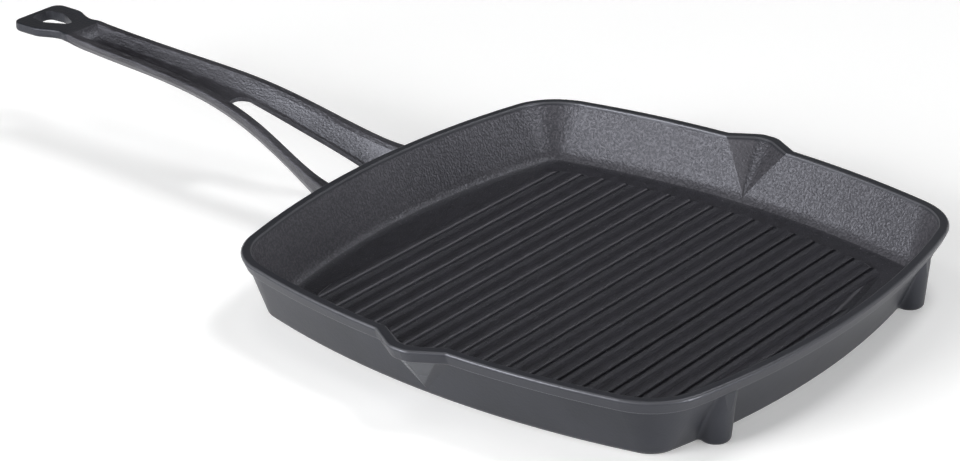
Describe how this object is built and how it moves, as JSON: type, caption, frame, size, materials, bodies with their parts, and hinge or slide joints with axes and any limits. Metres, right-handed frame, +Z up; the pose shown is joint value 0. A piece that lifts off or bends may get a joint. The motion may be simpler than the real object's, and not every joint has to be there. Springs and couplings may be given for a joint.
{
  "type": "grill pan",
  "caption": "Square cast iron grill pan with a ribbed floor, a pouring lip on two sides and a long forked channel handle that ends in a hanging hole",
  "frame": {"origin": "middle of the flat base that rests on the hob or table, under the centre of the square pan", "axes": "+X runs from the handle to the pan's far side, so the handle points to -X; +Y to the pouring lip on the cook's left; +Z up"},
  "size_m": [0.4796, 0.2764, 0.0517],
  "materials": {
    "cast_iron": "matte black seasoned sand-cast iron"
  },
  "bodies": {
    "root": {"pan_floor": "cast_iron", "pan_wall": "cast_iron", "rim_band": "cast_iron", "left_spout": "cast_iron", "right_spout": "cast_iron", "left_rest_lug": "cast_iron", "right_rest_lug": "cast_iron", "left_arm": "cast_iron", "right_arm": "cast_iron", "handle_grip": "cast_iron", "hanging_eye": "cast_iron", "rib_01": "cast_iron", "rib_02": "cast_iron", "rib_03": "cast_iron", "rib_04": "cast_iron", "rib_05": "cast_iron", "rib_06": "cast_iron", "rib_07": "cast_iron", "rib_08": "cast_iron", "rib_09": "cast_iron", "rib_10": "cast_iron", "rib_11": "cast_iron", "rib_12": "cast_iron", "rib_13": "cast_iron", "rib_14": "cast_iron", "rib_15": "cast_iron", "rib_16": "cast_iron", "rib_17": "cast_iron"}
  },
  "joints": []
}
